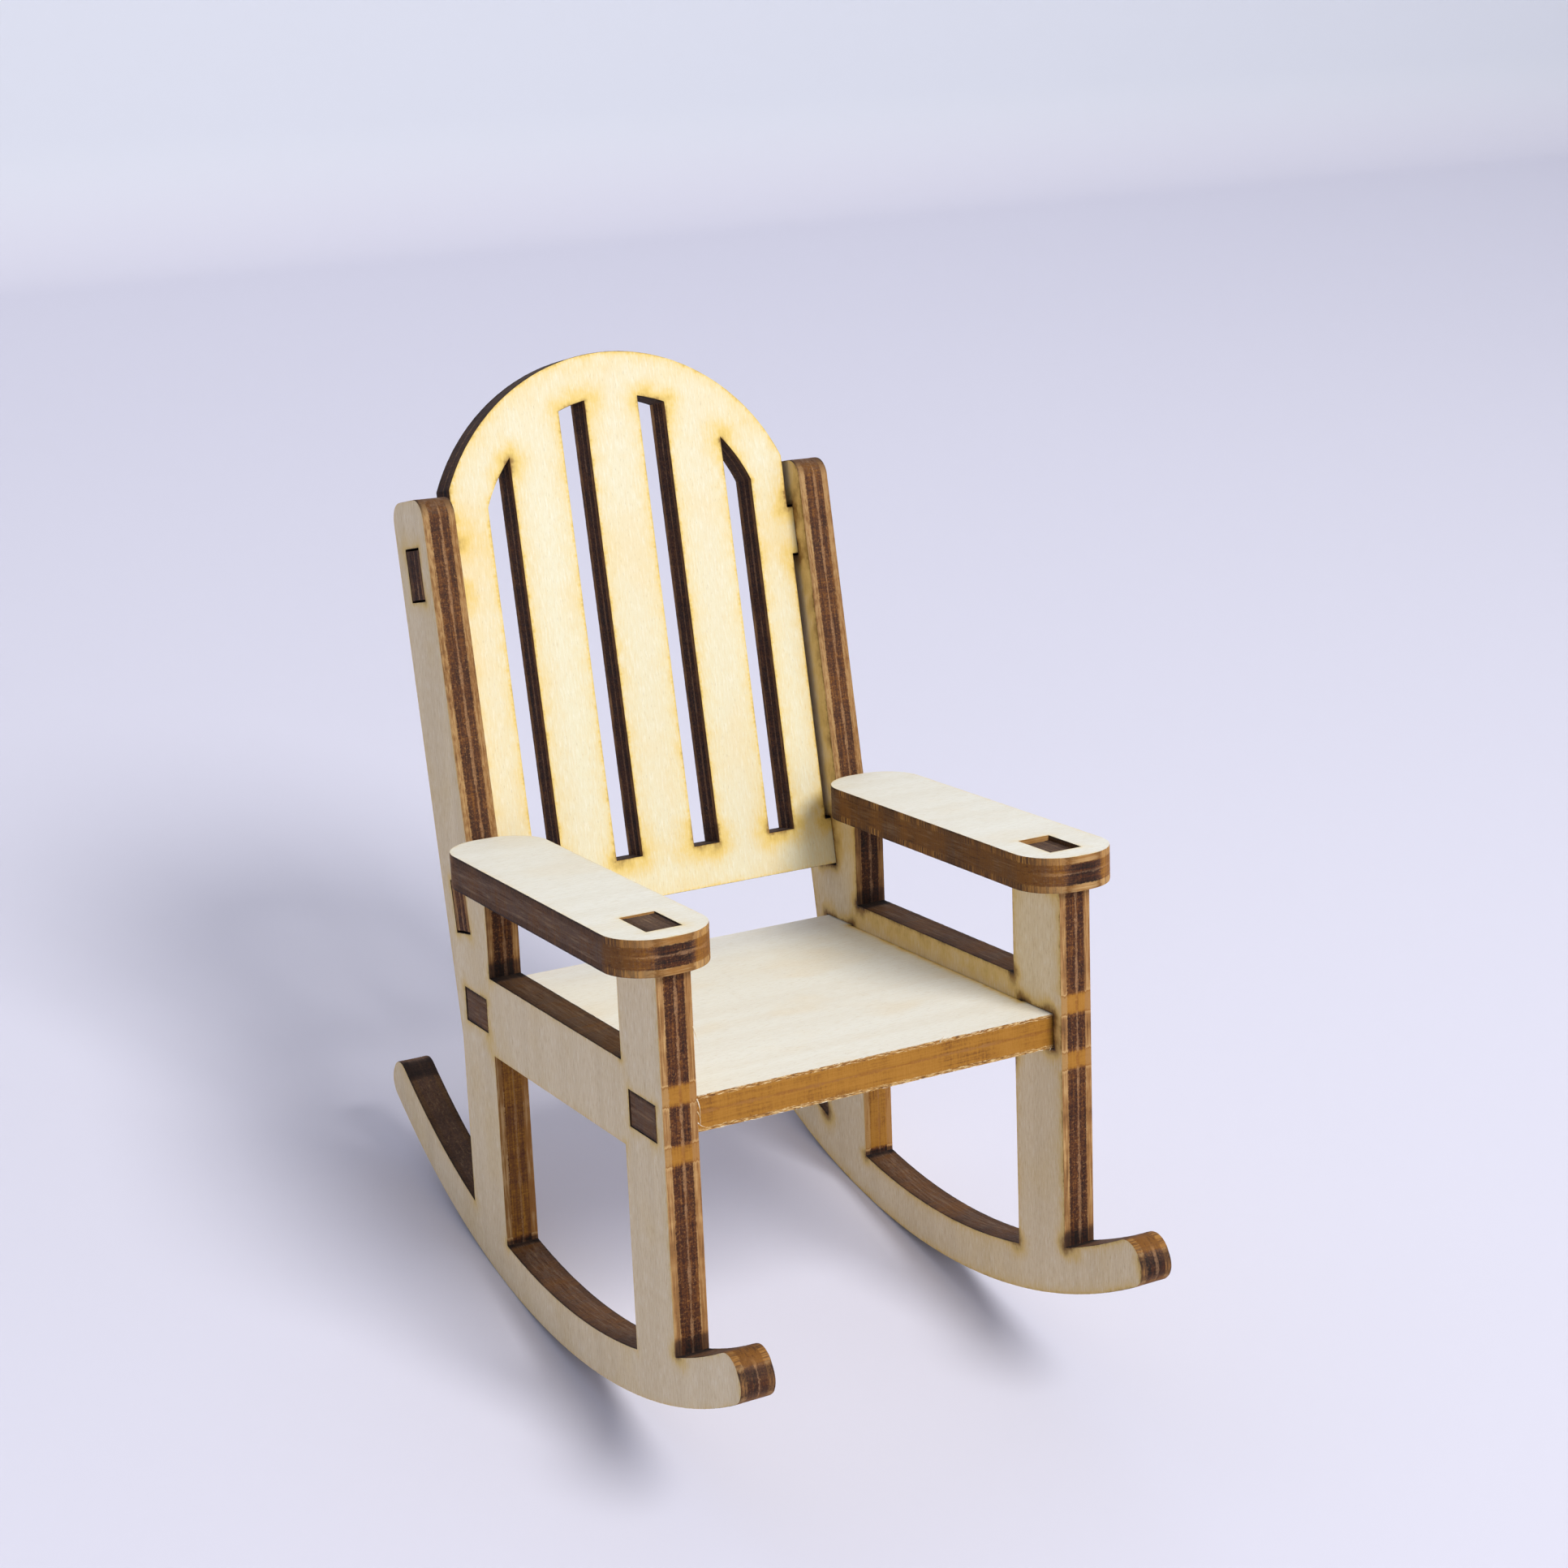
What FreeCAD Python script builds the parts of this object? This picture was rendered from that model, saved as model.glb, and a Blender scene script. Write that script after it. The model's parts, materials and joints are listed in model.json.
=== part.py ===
import FreeCAD, Part

import math
import os

import Sketcher

# A dolls house rocking chair, cut from one thickness of plywood and put together with tabs and
# mortises.  Two side frames, each with its rocker, legs, rail and leaning back post in one piece,
# stand on either side of a seat and a slatted back.  An armrest drops over each front leg.
#
# The chair is drawn standing square: X across, Y towards the back from the front of the front
# legs, Z up from the underside of the side rails, and X = 0 on the middle plane.  Left and right
# are those of someone who faces the chair.  At the end it is leaned back to where it balances on
# its rockers, with the middle of its underside at the origin.

DRIVING_SIZES = {
    "ply_thickness": 3.0,
    "joint_clearance": 0.1,       # at each end of a mortise, beside its tab
    "tab_width": 4.4,
    "inside_width": 34.3,         # between the two side frames
    "leg_width": 7.0,
    "leg_gap": 25.6,              # from the back of the front leg to the front of the rear leg
    "rail_height": 7.2,
    "arm_lift": 16.0,             # underside of the armrest above the underside of the rail
    "post_lean": 9.8,             # degrees
    "post_length": 47.7,          # along the post, from the underside of the rail
    "post_corner": 1.8,
    "rocker_radius": 63.1,
    "rocker_depth": 4.1,
    "rocker_forward": 20.1,       # middle of the rocker's circle, behind the front leg's front
    "rocker_up": 40.0,            # middle of the rocker's circle, above the underside of the rail
    "toe_angle": 30.0,            # degrees round the rocker, ahead of its lowest point
    "tail_angle": 38.0,           # degrees round the rocker, behind its lowest point
    "rocker_tip_flat": 0.5,       # straight stretch left between the two rounded corners of a tip
    "seat_lift": 1.95,            # underside of the seat above the underside of the rail
    "seat_inset": 1.4,            # seat edges inside the outer edges of the legs
    "arm_width": 8.9,
    "arm_outside": 3.2,           # how far the armrest stands out past the side frame
    "arm_front": 1.2,             # how far the armrest stands out past the front leg
    "arm_rear_gap": 0.2,
    "arm_end_flat": 1.1,          # straight stretch left between the two rounded corners of an end
    "back_side_gap": 0.5,         # from the back panel's edge to the side frame
    "back_lift": 9.7,             # along the post, from the underside of the rail
    "back_side_top": 48.2,        # along the post: where the straight side meets the arch
    "upper_tab_lift": 39.0,       # along the post, from the underside of the rail
    "arch_rise": 10.85,           # top of the arch above the straight sides
    "bottom_rim": 4.0,            # wood left below the slots
    "side_rim": 3.525,            # wood left beside the outer slots
    "arch_rim": 4.0,              # wood left above the middle of the slots
    "slot_side_drop": 1.93,       # lowest corner of the slots' tops, below the start of the arch
    "slot_width": 2.55,
    "slot_count": 4,
}

document = FreeCAD.newDocument("rocking_chair")
sheet = document.addObject("Spreadsheet::Sheet", "Sizes")
for row, (alias, number) in enumerate(DRIVING_SIZES.items(), start=1):
    sheet.set(f"A{row}", alias)
    sheet.set(f"B{row}", str(number))
    sheet.setAlias(f"B{row}", alias)
document.recompute()


# --- Sizes worked out from the sheet ----------------------------------------------------------

class Size:
    """A number together with the sheet expression that it comes from."""

    def __init__(self, number, text):
        self.number = number
        self.text = text

    def combine(self, sign, other, number):
        return Size(number, f"({self.text} {sign} {as_size(other).text})")

    def __add__(self, other):
        return self.combine("+", other, self.number + as_size(other).number)

    def __sub__(self, other):
        return self.combine("-", other, self.number - as_size(other).number)

    def __mul__(self, other):
        return self.combine("*", other, self.number * as_size(other).number)

    def __truediv__(self, other):
        return self.combine("/", other, self.number / as_size(other).number)

    def __neg__(self):
        return Size(-self.number, f"(-1 * {self.text})")


def as_size(value):
    return value if isinstance(value, Size) else Size(float(value), str(float(value)))


def from_sheet(alias):
    return Size(float(sheet.get(alias)), f"{sheet.Name}.{alias}")


def sine(degrees):
    return Size(math.sin(math.radians(degrees.number)), f"sin({degrees.text} * 1deg)")


def cosine(degrees):
    return Size(math.cos(math.radians(degrees.number)), f"cos({degrees.text} * 1deg)")


def circle_side(radius, away):
    """The other short side of a right triangle whose long side is a circle's radius."""
    squares = radius * radius - away * away
    return Size(math.sqrt(squares.number), f"sqrt({squares.text})")


def arc_radius(half_chord, rise):
    """The radius of an arc from half its chord and its height above the chord."""
    return (half_chord * half_chord + rise * rise) / (rise * 2)


zero = as_size(0)
ply = from_sheet("ply_thickness")
clearance = from_sheet("joint_clearance")
tab_width = from_sheet("tab_width")
inside_width = from_sheet("inside_width")
half_inside = inside_width / 2

# Places along Y of the two legs.
leg_width = from_sheet("leg_width")
front_leg_back = leg_width
rear_leg_front = leg_width + from_sheet("leg_gap")
rear_leg_back = rear_leg_front + leg_width

# Heights on the legs.
rail_top = from_sheet("rail_height")
arm_underside = from_sheet("arm_lift")
arm_top = arm_underside + ply

# The post is as wide as the legs, measured square to its lean.  It starts to lean at the
# underside of the rail, so places on it are measured along it and forward of its back edge.
lean = from_sheet("post_lean")
post_length = from_sheet("post_length")
back_recess = (leg_width - ply) / 2


def on_post(along, forward):
    """The Y and Z of a place on the leaning post."""
    y = rear_leg_back + along * sine(lean) - forward * cosine(lean)
    z = along * cosine(lean) + forward * sine(lean)
    return y, z


def post_front_at(height):
    """The Y of the post's front edge at a height."""
    return rear_leg_back + height * sine(lean) / cosine(lean) - leg_width / cosine(lean)


# The rocker is a band between two circles with one middle.
rocker_radius = from_sheet("rocker_radius")
rocker_depth = from_sheet("rocker_depth")
rocker_corner = (rocker_depth - from_sheet("rocker_tip_flat")) / 2
rocker_inner_radius = rocker_radius - rocker_depth
rocker_middle_y = from_sheet("rocker_forward")
rocker_middle_z = from_sheet("rocker_up")


def on_rocker(radius, degrees, side):
    """A place on the rocker, at an angle from its lowest point: side is -1 ahead, 1 behind."""
    y = rocker_middle_y + radius * sine(degrees) * side
    z = rocker_middle_z - radius * cosine(degrees)
    return y, z


def rocker_top_at(y):
    """The Z of the rocker's top edge, straight above or below a Y."""
    return rocker_middle_z - circle_side(rocker_inner_radius, y - rocker_middle_y)


# --- Drawing and cutting ----------------------------------------------------------------------

def origin_plane(body, role):
    for feature in body.Origin.OriginFeatures:
        if feature.Role == role:
            return feature
    raise RuntimeError(f"{body.Label} has no {role}")


def new_sketch(body, name, role):
    sketch = body.newObject("Sketcher::SketchObject", name)
    sketch.AttachmentSupport = [(origin_plane(body, role), "")]
    sketch.MapMode = "FlatFace"
    return sketch


def bind(sketch, kind, *places, size):
    """Add a dimension to a sketch and tie it to its sheet expression."""
    index = sketch.addConstraint(Sketcher.Constraint(kind, *places, size.number))
    sketch.setExpression(f"Constraints[{index}]", size.text)


def point(place):
    return FreeCAD.Vector(place[0].number, place[1].number, 0)


def draw_loop(sketch, corners, arcs=None):
    """Draw a closed outline through its corners.

    arcs gives the edges that are bowed: the number of the corner where each starts, its radius,
    and 1 where the outline turns left along it or -1 where it turns right.
    """
    arcs = arcs or {}
    first = sketch.GeometryCount
    count = len(corners)
    ends = []
    for number, corner in enumerate(corners):
        start = point(corner)
        finish = point(corners[(number + 1) % count])
        if number in arcs:
            radius, turn = arcs[number]
            chord = finish - start
            rise = math.sqrt(radius.number ** 2 - (chord.Length / 2) ** 2)
            inward = FreeCAD.Vector(-chord.y, chord.x, 0).normalize() * turn
            middle = start + chord * 0.5 + inward * rise
            low, high = (start, finish) if turn > 0 else (finish, start)
            low_angle = math.atan2(low.y - middle.y, low.x - middle.x)
            high_angle = math.atan2(high.y - middle.y, high.x - middle.x)
            circle = Part.Circle(middle, FreeCAD.Vector(0, 0, 1), radius.number)
            sketch.addGeometry(Part.ArcOfCircle(circle, low_angle, high_angle), False)
            ends.append((1, 2) if turn > 0 else (2, 1))
        else:
            sketch.addGeometry(Part.LineSegment(start, finish), False)
            ends.append((1, 2))
    for number, corner in enumerate(corners):
        here = first + number
        following = (number + 1) % count
        sketch.addConstraint(
            Sketcher.Constraint("Coincident", here, ends[number][1], first + following, ends[following][0])
        )
        bind(sketch, "DistanceX", -1, 1, here, ends[number][0], size=corner[0])
        bind(sketch, "DistanceY", -1, 1, here, ends[number][0], size=corner[1])
        if number in arcs:
            bind(sketch, "Radius", here, size=arcs[number][0])


def cut_plate(body, name, role, corners, arcs=None):
    """Saw a plate of plywood to an outline."""
    sketch = new_sketch(body, f"{name}_outline", role)
    draw_loop(sketch, corners, arcs)
    pad = body.newObject("PartDesign::Pad", name)
    pad.Profile = sketch
    pad.setExpression("Length", ply.text)
    pad.Refine = True
    document.recompute()


def cut_holes(body, name, role, loops):
    """Saw holes right through a plate: each loop is its corners and its bowed edges."""
    before = body.Shape.Volume
    sketch = new_sketch(body, f"{name}_outline", role)
    for corners, arcs in loops:
        draw_loop(sketch, corners, arcs)
    pocket = body.newObject("PartDesign::Pocket", name)
    pocket.Profile = sketch
    pocket.Type = "ThroughAll"
    pocket.Reversed = True
    document.recompute()
    if body.Shape.Volume >= before:
        raise RuntimeError(f"{body.Label}: {name} cut nothing")


def round_corners(body, name, radius, places, axis):
    """Round the through-edges of a plate that stand at the given places of the outline."""
    base = body.Tip
    other_axes = [direction for direction in range(3) if direction != axis]
    edges = []
    for number, edge in enumerate(base.Shape.Edges, start=1):
        ends = [vertex.Point for vertex in edge.Vertexes]
        if len(ends) != 2 or abs(ends[0][axis] - ends[1][axis]) < ply.number / 2:
            continue
        for place in places:
            wanted = [size.number for size in place]
            found = [ends[0][direction] for direction in other_axes]
            if math.dist(wanted, found) < clearance.number:
                edges.append(f"Edge{number}")
    if len(edges) != len(places):
        raise RuntimeError(f"{body.Label}: {name} found {len(edges)} of {len(places)} edges")
    fillet = body.newObject("PartDesign::Fillet", name)
    fillet.Base = (base, edges)
    fillet.setExpression("Radius", radius.text)
    document.recompute()


def rectangle(left, right, bottom, top):
    return [(left, bottom), (right, bottom), (right, top), (left, top)]


def new_body(name):
    body = document.addObject("PartDesign::Body", name)
    body.Label = name
    return body


# --- Side frames ------------------------------------------------------------------------------

seat_underside = from_sheet("seat_lift")
seat_front = from_sheet("seat_inset")
seat_back = rear_leg_back - from_sheet("seat_inset")
back_bottom = from_sheet("back_lift")
upper_tab_bottom = from_sheet("upper_tab_lift")
toe_angle = from_sheet("toe_angle")
tail_angle = from_sheet("tail_angle")
tenon_front = (leg_width - tab_width) / 2
tenon_back = tenon_front + tab_width

post_back_top = on_post(post_length, zero)
post_front_top = on_post(post_length, leg_width)
toe_low = on_rocker(rocker_radius, toe_angle, -1)
toe_high = on_rocker(rocker_inner_radius, toe_angle, -1)
tail_low = on_rocker(rocker_radius, tail_angle, 1)
tail_high = on_rocker(rocker_inner_radius, tail_angle, 1)


def post_mortise(bottom):
    """A hole for one of the back panel's tabs, square to the leaning post."""
    low = bottom - clearance
    high = bottom + tab_width + clearance
    back_face = back_recess
    front_face = back_recess + ply
    return [
        on_post(low, front_face),
        on_post(low, back_face),
        on_post(high, back_face),
        on_post(high, front_face),
    ]


def seat_mortise(front):
    return rectangle(front - clearance, front + tab_width + clearance, seat_underside, seat_underside + ply)


def make_side_frame(name):
    body = new_body(name)
    outline = [
        toe_low,
        tail_low,
        tail_high,
        (rear_leg_back, rocker_top_at(rear_leg_back)),
        (rear_leg_back, zero),
        post_back_top,
        post_front_top,
        (post_front_at(arm_underside), arm_underside),
        (rear_leg_front, arm_underside),
        (rear_leg_front, rail_top),
        (front_leg_back, rail_top),
        (front_leg_back, arm_underside),
        (tenon_back, arm_underside),
        (tenon_back, arm_top),
        (tenon_front, arm_top),
        (tenon_front, arm_underside),
        (zero, arm_underside),
        (zero, rocker_top_at(zero)),
        toe_high,
    ]
    bowed = {0: (rocker_radius, 1), 2: (rocker_inner_radius, -1), 17: (rocker_inner_radius, -1)}
    cut_plate(body, f"{name}_plate", "YZ_Plane", outline, bowed)

    window = [
        (front_leg_back, rocker_top_at(front_leg_back)),
        (rear_leg_front, rocker_top_at(rear_leg_front)),
        (rear_leg_front, zero),
        (front_leg_back, zero),
    ]
    cut_holes(body, f"{name}_window", "YZ_Plane", [(window, {0: (rocker_inner_radius, 1)})])
    mortises = [
        seat_mortise(seat_front),
        seat_mortise(seat_back - tab_width),
        post_mortise(back_bottom),
        post_mortise(upper_tab_bottom),
    ]
    cut_holes(body, f"{name}_mortises", "YZ_Plane", [(corners, None) for corners in mortises])
    post_top = [post_back_top, post_front_top]
    round_corners(body, f"{name}_post_top", from_sheet("post_corner"), post_top, axis=0)
    tips = [toe_low, toe_high, tail_low, tail_high]
    round_corners(body, f"{name}_rocker_tips", rocker_corner, tips, axis=0)
    return body


# --- Seat -------------------------------------------------------------------------------------

def make_seat(name):
    """A flat board whose four tabs are flush with its front and back edges."""
    body = new_body(name)
    tip = half_inside + ply
    outline = []
    for side, places in ((1, (seat_front, seat_back)), (-1, (seat_back, seat_front))):
        shoulder = half_inside * side
        tab_end = tip * side
        inner_places = [
            places[0] + tab_width * side,
            places[1] - tab_width * side,
        ]
        outline += [
            (tab_end, places[0]),
            (tab_end, inner_places[0]),
            (shoulder, inner_places[0]),
            (shoulder, inner_places[1]),
            (tab_end, inner_places[1]),
            (tab_end, places[1]),
        ]
    cut_plate(body, f"{name}_plate", "XY_Plane", outline)
    return body


# --- Back panel -------------------------------------------------------------------------------

def make_back(name):
    """An arched board with slots, drawn flat: X across and Z along the posts."""
    body = new_body(name)
    edge = half_inside - from_sheet("back_side_gap")
    tip = half_inside + ply
    spring = from_sheet("back_side_top")
    arch_rise = from_sheet("arch_rise")
    outline = [
        (-tip, back_bottom),
        (tip, back_bottom),
        (tip, back_bottom + tab_width),
        (edge, back_bottom + tab_width),
        (edge, upper_tab_bottom),
        (tip, upper_tab_bottom),
        (tip, upper_tab_bottom + tab_width),
        (edge, upper_tab_bottom + tab_width),
        (edge, spring),
        (-edge, spring),
        (-edge, upper_tab_bottom + tab_width),
        (-tip, upper_tab_bottom + tab_width),
        (-tip, upper_tab_bottom),
        (-edge, upper_tab_bottom),
        (-edge, back_bottom + tab_width),
        (-tip, back_bottom + tab_width),
    ]
    arch = {8: (arc_radius(edge, arch_rise), 1)}
    cut_plate(body, f"{name}_plate", "XZ_Plane", outline, arch)

    # The slots are spread evenly between the side rims, and their tops lie on one circle.
    slots_edge = edge - from_sheet("side_rim")
    slots_top = spring + arch_rise - from_sheet("arch_rim")
    slot_radius = arc_radius(slots_edge, slots_top - (spring - from_sheet("slot_side_drop")))
    slot_middle = slots_top - slot_radius
    slot_width = from_sheet("slot_width")
    slot_bottom = back_bottom + from_sheet("bottom_rim")
    slot_count = int(from_sheet("slot_count").number)
    slot_pitch = (slots_edge * 2 - slot_width) / (slot_count - 1)
    loops = []
    for number in range(slot_count):
        left = slot_pitch * number - slots_edge
        right = left + slot_width
        corners = [
            (left, slot_bottom),
            (right, slot_bottom),
            (right, slot_middle + circle_side(slot_radius, right)),
            (left, slot_middle + circle_side(slot_radius, left)),
        ]
        loops.append((corners, {2: (slot_radius, 1)}))
    cut_holes(body, f"{name}_slots", "XZ_Plane", loops)
    return body


# --- Armrests ---------------------------------------------------------------------------------

arm_front_end = -from_sheet("arm_front")
arm_rear_end = post_front_at(arm_underside) - from_sheet("arm_rear_gap")
arm_outside = from_sheet("arm_outside")
arm_width = from_sheet("arm_width")
arm_corner = (arm_width - from_sheet("arm_end_flat")) / 2


def make_armrest(name, left_edge):
    """A round-ended board, drawn with its side frame between X = 0 and the ply's thickness."""
    body = new_body(name)
    outline = rectangle(left_edge, left_edge + arm_width, arm_front_end, arm_rear_end)
    cut_plate(body, f"{name}_plate", "XY_Plane", outline)
    mortise = rectangle(zero, ply, tenon_front - clearance, tenon_back + clearance)
    cut_holes(body, f"{name}_mortise", "XY_Plane", [(mortise, None)])
    round_corners(body, f"{name}_ends", arm_corner, outline, axis=2)
    return body


# --- Putting the chair together ---------------------------------------------------------------

def placed(x, y, z, axis=(0, 0, 1), degrees=0.0):
    return FreeCAD.Placement(FreeCAD.Vector(x, y, z), FreeCAD.Rotation(FreeCAD.Vector(*axis), degrees))


left_x = -half_inside.number - ply.number
right_x = half_inside.number
back_foot_y, back_foot_z = on_post(zero, back_recess)

standing = [
    (make_side_frame("left_side_frame"), placed(left_x, 0, 0)),
    (make_side_frame("right_side_frame"), placed(right_x, 0, 0)),
    (make_seat("seat_panel"), placed(0, 0, seat_underside.number)),
    (
        make_back("back_panel"),
        placed(0, back_foot_y.number, back_foot_z.number, (1, 0, 0), -lean.number),
    ),
    (
        make_armrest("left_armrest", -arm_outside),
        placed(left_x, 0, arm_underside.number),
    ),
    (
        make_armrest("right_armrest", ply + arm_outside - arm_width),
        placed(right_x, 0, arm_underside.number),
    ),
]
for body, placement in standing:
    body.Placement = placement
document.recompute()
bodies = [body for body, placement in standing]

# The chair comes to rest where its weight hangs straight below the middle of the rocker's circle.
for body in bodies:
    if len(body.Shape.Solids) != 1:
        raise RuntimeError(f"{body.Label} is not one solid")
solids = [body.Shape.Solids[0] for body in bodies]
total_volume = sum(solid.Volume for solid in solids)
weight = FreeCAD.Vector()
for solid in solids:
    weight += solid.CenterOfMass * (solid.Volume / total_volume)
rest_tilt = math.degrees(
    math.atan2(weight.y - rocker_middle_y.number, rocker_middle_z.number - weight.z)
)
rocked = placed(0, 0, 0, (1, 0, 0), -rest_tilt)
for body, placement in standing:
    body.Placement = rocked * placement
document.recompute()

# Then it is set down with the middle of its underside at the origin.
box = Part.makeCompound([body.Shape for body in bodies]).optimalBoundingBox(False)
set_down = placed(-box.Center.x, -box.Center.y, -box.ZMin)
for body in bodies:
    body.Placement = set_down * body.Placement
document.recompute()

for item in document.Objects:
    if "Invalid" in item.State or "Error" in item.State:
        raise RuntimeError(f"{item.Label} failed: {item.State}")
for body in bodies:
    if body.Shape.isNull() or not body.Shape.isValid():
        raise RuntimeError(f"{body.Label} is not a sound solid")

os.makedirs("parts", exist_ok=True)
for body in bodies:
    body.Shape.exportStep(f"parts/{body.Label}.step")

print(f"balanced {rest_tilt:.2f} degrees back, {box.XLength:.2f} x {box.YLength:.2f} x {box.ZLength:.2f} mm")
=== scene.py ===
import json
import math
import random

import bpy
from mathutils import Matrix, Vector, noise
from mathutils.geometry import delaunay_2d_cdt
from mathutils.kdtree import KDTree


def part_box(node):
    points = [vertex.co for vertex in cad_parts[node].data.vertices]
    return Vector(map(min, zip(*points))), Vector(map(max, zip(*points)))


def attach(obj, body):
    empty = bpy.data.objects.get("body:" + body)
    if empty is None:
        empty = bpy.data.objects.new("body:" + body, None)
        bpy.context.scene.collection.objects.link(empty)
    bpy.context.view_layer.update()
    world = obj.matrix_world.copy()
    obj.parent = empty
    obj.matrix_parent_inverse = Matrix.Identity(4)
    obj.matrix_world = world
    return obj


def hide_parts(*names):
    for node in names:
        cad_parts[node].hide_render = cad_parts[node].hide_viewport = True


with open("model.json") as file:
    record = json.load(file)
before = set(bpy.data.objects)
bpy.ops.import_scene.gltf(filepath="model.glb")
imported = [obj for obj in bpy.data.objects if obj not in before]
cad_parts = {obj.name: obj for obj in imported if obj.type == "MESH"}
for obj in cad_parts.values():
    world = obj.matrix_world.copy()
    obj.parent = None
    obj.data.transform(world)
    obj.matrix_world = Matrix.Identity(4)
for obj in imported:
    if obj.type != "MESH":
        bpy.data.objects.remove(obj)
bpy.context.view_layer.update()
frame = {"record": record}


# --- Side frames ------------------------------------------------------------------------------
# Each side is one plate of 3 mm plywood: rocker, legs, rail and leaning post in one piece.
# A laser cuts it out, so its faces stay pale birch, its edges are scorched and show the plies,
# and heat tints the face beside each cut.  The other boards' tabs go through its mortises.

mm = 0.001
side_low, side_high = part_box("left_side_frame")
ply = (side_high.x - side_low.x) / mm
left_x = side_low.x / mm
half_inside = -left_x - ply
clearance = 0.1
tab_width = 4.4
leg_width = 7.0
leg_gap = 25.6
rail_top = 7.2
arm_underside = 16.0
lean = math.radians(9.8)
post_length = 47.7
post_corner = 1.8
rocker_radius = 63.1
rocker_depth = 4.1
rocker_middle = Vector((20.1, 40.0))
rocker_tip_flat = 0.5
toe_angle = 30
tail_angle = 38
seat_underside = 1.95
seat_inset = 1.4
back_bottom = 9.7
upper_tab_bottom = 39.0

rear_leg_front = leg_width + leg_gap
rear_leg_back = rear_leg_front + leg_width
rocker_inner = rocker_radius - rocker_depth
tip_corner = (rocker_depth - rocker_tip_flat) / 2
low_corner = rocker_radius - tip_corner
high_corner = rocker_inner + tip_corner
tenon_front = (leg_width - tab_width) / 2
arm_top = arm_underside + ply
back_recess = (leg_width - ply) / 2
post_at_arm = rear_leg_back + arm_underside * math.tan(lean) - leg_width / math.cos(lean)

# The chair is drawn with level rails.  At rest it leans back on its rockers, as the frame says.
mounts = {mount["name"]: mount for mount in frame["record"]["mounts"]}
arm_up = mounts["left_armrest_top"]["axis"]
tilt = math.atan2(arm_up[1], arm_up[2])
middle_back = rocker_middle.x * math.cos(tilt) + rocker_middle.y * math.sin(tilt)
middle_up = rocker_middle.y * math.cos(tilt) - rocker_middle.x * math.sin(tilt)
touch_down = mounts["rockers_on_floor"]["pos_m"][1] / mm
at_rest = (
    Matrix.Scale(mm, 4)
    @ Matrix.Translation((0, touch_down - middle_back, rocker_radius - middle_up))
    @ Matrix.Rotation(-tilt, 4, "X")
)

# How finely a cut and a face are drawn, in mm.
cut_step = 0.22
face_grid = 0.42
near_line = 0.17
far_line = 0.36
clear_of_cut = 0.13
sharp_edge = math.radians(38)

# The rows of points through the thickness, closer together at the arrises and the glue lines.
rows = (0, 0.012, 0.035, 0.075, 0.12, 0.165, 0.195, 0.215, 0.26, 0.32, 0.38, 0.44, 0.485, 0.515)
rows = rows + (0.54, 0.565, 0.6, 0.66, 0.72, 0.765, 0.785, 0.805, 0.84, 0.885, 0.93, 0.967, 0.989, 1)

# The plies and the arrises, as shares of the thickness.
veneer_share = 0.2
middle_glue = 0.545
glue_share = 0.012
arris_share = 0.03

# How far the beam burns each part of an edge back, in mm.
corner_nick = 0.03
least_burn = 0.012
arris_burn = 0.02
uneven_burn = 0.012
pitted_burn = 0.01
core_burn = 0.018
glue_burn = 0.022
chipped_burn = 0.014

# How dark a cut edge is burnt, from honey gold to soot.
gold, honey, tan, brown, umber, soot = 0.05, 0.2, 0.36, 0.52, 0.68, 0.92

# A change of heat spreads over a few points each way, and more sharply at a mark.  The beam
# slows down where it turns by more than sharp_turn, in radians, and heat gathers there.
blur = 3
mark_hardness = 8
sharp_turn = 0.5

# How far the heat tints a face beside a cut, in mm.
singe_reach = 0.16
char_reach = 0.08


def on_post(along, forward):
    """A place on the leaning post: so far up along its back edge, and so far forward of it."""
    y = rear_leg_back + along * math.sin(lean) - forward * math.cos(lean)
    return Vector((y, along * math.cos(lean) + forward * math.sin(lean)))


def on_rocker(radius, degrees, side):
    """A place on the rocker: so far from the middle of its arcs, swung to the toe or to the tail."""
    angle = math.radians(degrees)
    return rocker_middle + radius * Vector((side * math.sin(angle), -math.cos(angle)))


def rocker_top_at(y):
    """The height of the rocker's upper curve."""
    return rocker_middle.y - math.sqrt(rocker_inner ** 2 - (y - rocker_middle.x) ** 2)


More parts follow.
